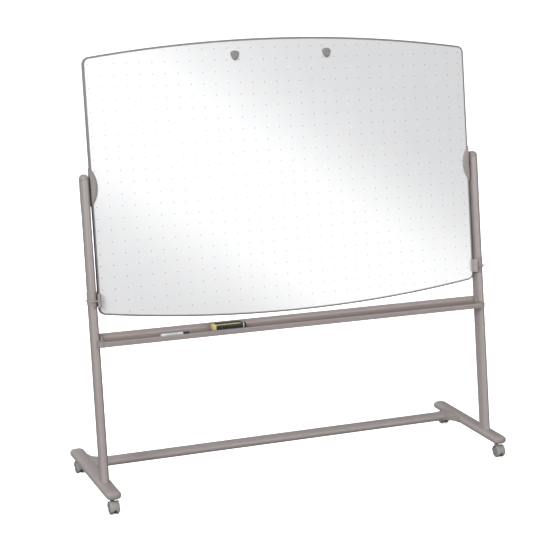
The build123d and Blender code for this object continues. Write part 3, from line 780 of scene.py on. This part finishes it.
def add_hooks(plastic):
    """Shield-shaped hooks with a crowned face, and a straight peg near the lower tip."""
    corners = [(-0.021, 0.0105), (-0.013, 0.0205), (0.013, 0.0205), (0.021, 0.0105),
               (0.0155, -0.0100), (0.0040, -0.0218), (-0.0040, -0.0218), (-0.0155, -0.0100)]
    radii = [0.008, 0.020, 0.020, 0.008, 0.022, 0.005, 0.005, 0.022]
    outline = rounded_path(corners, radii, 6)
    crown = ((0.985, 0.0), (1.0, 0.0008), (1.0, 0.0030), (0.955, 0.0048), (0.87, 0.0056),
             (0.62, 0.0059), (0.30, 0.0060))
    peg_profile = ((0.0040, 0.0050), (0.0062, 0.0042), (0.0074, 0.0035), (0.0162, 0.0035),
                   (0.0167, 0.0032), (0.0170, 0.0026), (0.0170, 0.0004))
    peg_z = HOOK_Z - PEG_DROP
    for name, x in (("left", HOOK_X[0]), ("right", HOOK_X[1])):
        rings = []
        for scale, proud in crown:
            rings.append([(x + u * scale, -SHEET_FACE - proud, HOOK_Z + v * scale) for u, v in outline])
        peg = []
        for depth, radius in peg_profile:
            circle = oval(radius, radius, 32)
            peg.append([(x + u, -SHEET_FACE - depth, peg_z + v) for u, v in circle])
        piece(name + "_hook", merged(skin(rings), skin(peg)), "board", plastic,
              (name + "_flipchart_hook",), LEANING, 40)


def add_locks(collar_plastic):
    """Collars with a rolled top edge, tapered skirt and grooved guides; the latches stay CAD."""
    wall = COLLAR_WALL
    skirt = [(COLLAR_BOTTOM, 0.0004), (COLLAR_BOTTOM + 0.0008, 0.0009),
             (LATCH_Z - 0.012, wall - 0.0004), (LATCH_Z - 0.009, wall)]
    groove = [(COLLAR_TOP - 0.0065, wall), (COLLAR_TOP - 0.0058, wall - 0.0005),
              (COLLAR_TOP - 0.0050, wall - 0.0005), (COLLAR_TOP - 0.0044, wall)]
    rim = [(COLLAR_TOP - 0.0010, wall), (COLLAR_TOP - 0.0002, wall - 0.0007), (COLLAR_TOP, 0.0004)]
    guide_spans = ((LATCH_Z - GUIDE_OUTER, LATCH_Z - GUIDE_INNER),
                   (LATCH_Z + GUIDE_INNER, LATCH_Z + GUIDE_OUTER))
    for side, sign in (("left", -1), ("right", 1)):
        rings = []
        for z, grow in skirt + groove + rim:
            outline = oval(TUBE_SHORT + grow, TUBE_LONG + grow)
            rings.append([(sign * POST_X + x, y, z) for x, y in outline])
        guides = []
        for face in (-1, 1):
            for low, high in guide_spans:
                y0, y1 = sorted((face * 0.030, face * (TUBE_LONG + wall + 0.003)))
                x0, x1 = sorted((sign * (POST_X - 0.004), sign * (POST_X + 0.010)))
                guides.append(block((x0, y0, low), (x1, y1, high)))
        piece(side + "_collar", merged(skin(rings), *guides), "stand", collar_plastic,
              (side + "_lock_collar",), LEANING, 30, 0.0006)


# ---- things in the tray ----------------------------------------------------------------
def add_marker(white, black):
    """A turned barrel with its neck and tip, and a hollow cap over them."""
    low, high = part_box("marker_barrel")
    y = (low.y + high.y) / 2
    z = (low.z + high.z) / 2
    r = (high.z - low.z) / 2
    tail = low.x
    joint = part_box("marker_cap")[0].x
    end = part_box("marker_cap")[1].x
    barrel = [(tail, 0.0008), (tail, r - 0.0022), (tail + 0.0010, r - 0.0010),
              (tail + 0.0080, r - 0.0006), (tail + 0.0084, r), (joint - 0.0060, r),
              (joint - 0.0052, r - 0.0004), (joint - 0.0006, r - 0.0004)]
    neck = [(joint - 0.0003, 0.0047), (joint + 0.0110, 0.0047), (joint + 0.0118, 0.0040)]
    tip = [(joint + 0.0122, 0.0022), (joint + 0.0180, 0.0021), (joint + 0.0196, 0.0008)]
    piece("marker_pen", lathe_x(barrel + neck + tip, y, z), "marker", white, ("marker_barrel",))
    hollow = [(joint + 0.0235, 0.0002), (joint + 0.0235, 0.0050), (joint, 0.0050)]
    cap = [(joint, r - 0.0003), (joint + 0.0006, r), (joint + 0.0030, r),
           (joint + 0.0034, r - 0.0004), (joint + 0.0042, r - 0.0004), (joint + 0.0046, r),
           (end - 0.0046, r - 0.0002), (end - 0.0016, r - 0.0007), (end - 0.0004, r - 0.0018),
           (end, r - 0.0032), (end - 0.0006, 0.0006)]
    profile = hollow + cap
    piece("marker_lid", lathe_x(profile, y, z), "marker_cap", black, ("marker_cap",))


def stacked(node, radius, steps, levels):
    """Rounded oblongs over a CAD node's box, at (height, inset) levels."""
    low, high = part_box(node)
    corners = [(low.x, low.y), (high.x, low.y), (high.x, high.y), (low.x, high.y)]
    outline = rounded_path(corners, [radius] * 4, steps)
    centre = (low + high) / 2
    half = (high - low) / 2
    rings = []
    for height, inset in levels:
        ring = []
        for x, y in outline:
            ring_x = centre.x + (x - centre.x) * (1 - inset / half.x)
            ring_y = centre.y + (y - centre.y) * (1 - inset / half.y)
            ring.append((ring_x, ring_y, low.z + height))
        rings.append(ring)
    return skin(rings)


def add_eraser(case, sole):
    """A block with a crowned top and a grip groove, on a sole of four felt layers."""
    low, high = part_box("eraser_body")
    tall = high.z - low.z
    sides = [(0.0, 0.0012), (0.0008, 0.0004), (0.0030, 0.0), (0.0080, 0.0),
             (0.0086, 0.0006), (0.0096, 0.0006), (0.0102, 0.0)]
    crown = [(tall - 0.0060, 0.0004), (tall - 0.0030, 0.0014), (tall - 0.0012, 0.0030),
             (tall - 0.0003, 0.0050), (tall, 0.0075)]
    shell = stacked("eraser_body", 0.003, 4, sides + crown)
    piece("eraser_shell", shell, "eraser", case, ("eraser_body",), None, 45)
    low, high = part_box("eraser_felt")
    layers = 4
    thick = (high.z - low.z) / layers
    levels = []
    for layer in range(layers):
        for part, inset in ((0.04, 0.0006), (0.25, 0.0), (0.75, 0.0), (0.96, 0.0006)):
            levels.append(((layer + part) * thick, inset))
    felt_block = stacked("eraser_felt", 0.007, 5, levels)
    piece("eraser_sole", felt_block, "eraser", sole, ("eraser_felt",), None, 60)


# ---- stage -----------------------------------------------------------------------------
def add_floor():
    """Pale paper, hidden from bounced light and reflections so that the dome lights the object."""
    mesh = bpy.data.meshes.new("floor")
    size = STUDIO_RADIUS
    corners = [(-size, -size, 0), (size, -size, 0), (size, size, 0), (-size, size, 0)]
    mesh.from_pydata(corners, [], [(0, 1, 2, 3)])
    floor = bpy.data.objects.new("floor", mesh)
    bpy.context.collection.objects.link(floor)
    n = Nodes("floor_paper")
    paper = n.mix(n.noise(2.0, 2.0), (0.93, 0.93, 0.93), (0.95, 0.95, 0.95))
    n.join(paper, n.shader.inputs["Base Color"])
    n.set(Roughness=0.9)
    n.set(**{"Emission Color": (1.0, 1.0, 1.0, 1.0), "Emission Strength": 0.72})
    mesh.materials.append(n.material)
    floor.visible_diffuse = False
    floor.visible_glossy = False


def add_backdrop():
    """A white dome far away that only the camera sees, so that no horizon shows."""
    mesh = bpy.data.meshes.new("backdrop")
    shape = bmesh.new()
    bmesh.ops.create_uvsphere(shape, u_segments=64, v_segments=32, radius=STUDIO_RADIUS)
    shape.to_mesh(mesh)
    shape.free()
    backdrop = bpy.data.objects.new("backdrop", mesh)
    bpy.context.collection.objects.link(backdrop)
    n = Nodes("backdrop_paper")
    n.set(**{"Base Color": (0.0, 0.0, 0.0, 1.0), "Specular IOR Level": 0.0})
    n.set(**{"Emission Color": (1.0, 1.0, 1.0, 1.0), "Emission Strength": 1.0})
    mesh.materials.append(n.material)
    backdrop.visible_diffuse = False
    backdrop.visible_glossy = False
    backdrop.visible_transmission = False
    backdrop.visible_shadow = False


def add_camera():
    """The camera, at the front left and a little above the board."""
    data = bpy.data.cameras.new("camera")
    data.sensor_width = 36.0
    data.lens = CAMERA_LENS
    camera = bpy.data.objects.new("camera", data)
    bpy.context.collection.objects.link(camera)
    turn = Matrix.Rotation(CAMERA_YAW, 4, "Z")
    pitch = Matrix.Rotation(math.pi / 2 - CAMERA_DOWN, 4, "X")
    roll = Matrix.Rotation(CAMERA_ROLL, 4, "Z")
    camera.matrix_world = Matrix.Translation(CAMERA_PLACE) @ turn @ pitch @ roll
    bpy.context.scene.camera = camera


def add_lamp(name, place, target, power, width, height):
    """A soft box that points at the target."""
    data = bpy.data.lights.new(name, "AREA")
    data.energy = power
    data.shape = "RECTANGLE"
    data.size = width
    data.size_y = height
    light = bpy.data.objects.new(name, data)
    bpy.context.collection.objects.link(light)
    aim = Vector(target) - Vector(place)
    turn = aim.to_track_quat("-Z", "Y").to_matrix().to_4x4()
    light.matrix_world = Matrix.Translation(place) @ turn
    return light


def add_dome():
    """A pale dome all round, brightest above the object's front left."""
    world = bpy.data.worlds.new("studio")
    bpy.context.scene.world = world
    world.use_nodes = True
    tree = world.node_tree
    background = tree.nodes["Background"]
    background.inputs["Strength"].default_value = 1.0
    coords = tree.nodes.new("ShaderNodeTexCoord")
    lean = tree.nodes.new("ShaderNodeVectorMath")
    lean.operation = "DOT_PRODUCT"
    lean.inputs[1].default_value = BRIGHT_SIDE
    span = tree.nodes.new("ShaderNodeMapRange")
    span.inputs["From Min"].default_value = -0.4
    span.inputs["From Max"].default_value = 1.0
    span.inputs["To Min"].default_value = 0.10
    span.inputs["To Max"].default_value = 1.0
    tree.links.new(coords.outputs["Generated"], lean.inputs[0])
    tree.links.new(lean.outputs["Value"], span.inputs["Value"])
    tree.links.new(span.outputs["Result"], background.inputs["Color"])


def add_lamps():
    """A soft key, a fill for the back, and a strip that gives the board its bright band."""
    add_lamp("key", (-5.4, -4.0, 4.3), (0.0, 0.0, 0.8), 255.0, 2.0, 2.0)
    fill = add_lamp("back_fill", (0.0, 6.5, 2.0), (0.0, 0.0, 1.0), 260.0, 3.5, 1.6)
    fill.visible_glossy = False
    strip = add_lamp("strip", (2.2, -5.6, 1.9), (0.0, 0.05, 1.3), 84.0, 5.5, 1.3)
    strip.matrix_world = strip.matrix_world @ Matrix.Rotation(STRIP_TURN, 4, "Z")


# ---- the object ------------------------------------------------------------------------
def paint(material, *nodes):
    """Give CAD nodes that stay in view their material."""
    for node in nodes:
        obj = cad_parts[node]
        for slot in obj.material_slots:
            slot.material = material


def for_casters(*parts):
    """The names of these CAD nodes on all four casters."""
    return [corner + "_" + part for corner, x, y in CASTERS for part in parts]


def add_object():
    """Make every material and piece, and paint the CAD nodes that stay in view."""
    coat = powder_coat("powder_coat", COAT)
    frame_coat = powder_coat("frame_coat", EDGE_TRIM, 0.4)
    plastic = moulded("grey_moulding", shade(COAT, 0.88))
    latch_plastic = moulded("latch_grey", shade(COAT, 1.02))
    hook_plastic = moulded("hook_grey", HOOK_GREY, slot="latch_grey")
    steel = brushed_metal("steel", (0.55, 0.55, 0.56))
    add_posts(coat, plastic)
    add_feet(coat, plastic)
    add_rail(coat)
    add_tray(trough_coat(COAT))
    add_sheets(writing_surface())
    add_edge_frame(frame_coat)
    add_brackets(plastic)
    add_hooks(hook_plastic)
    add_locks(plastic)
    add_casters(caster_moulding(CASTER_GREY), moulded("wheel", WHEEL_GREY, 0.5))
    add_marker(marker_barrel_paint(), moulded("marker_black", (0.015, 0.015, 0.015), 0.3, 300.0, 0.04))
    add_eraser(eraser_wrap(), felt())
    paint(plastic, "rail_gussets", "left_tray_end", "right_tray_end")
    paint(latch_plastic, "left_lock_latch", "right_lock_latch")
    nylon = moulded("black_nylon", (0.02, 0.02, 0.02), 0.45)
    paint(nylon, "pivot_bushes", "post_plugs", "caster_sockets")
    paint(steel, "post_bolts", "tray_screws", "collar_screws", "bracket_screws", "pivot_pins")
    caster_steel = brushed_metal("caster_steel", (0.25, 0.25, 0.25), 0.4)
    paint(caster_steel, *for_casters("caster_stem", "caster_axle"))
    paint(fibreboard(), "board_core")


add_floor()
add_backdrop()
add_camera()
add_dome()
add_lamps()
bpy.context.scene.view_settings.view_transform = "Standard"
add_object()
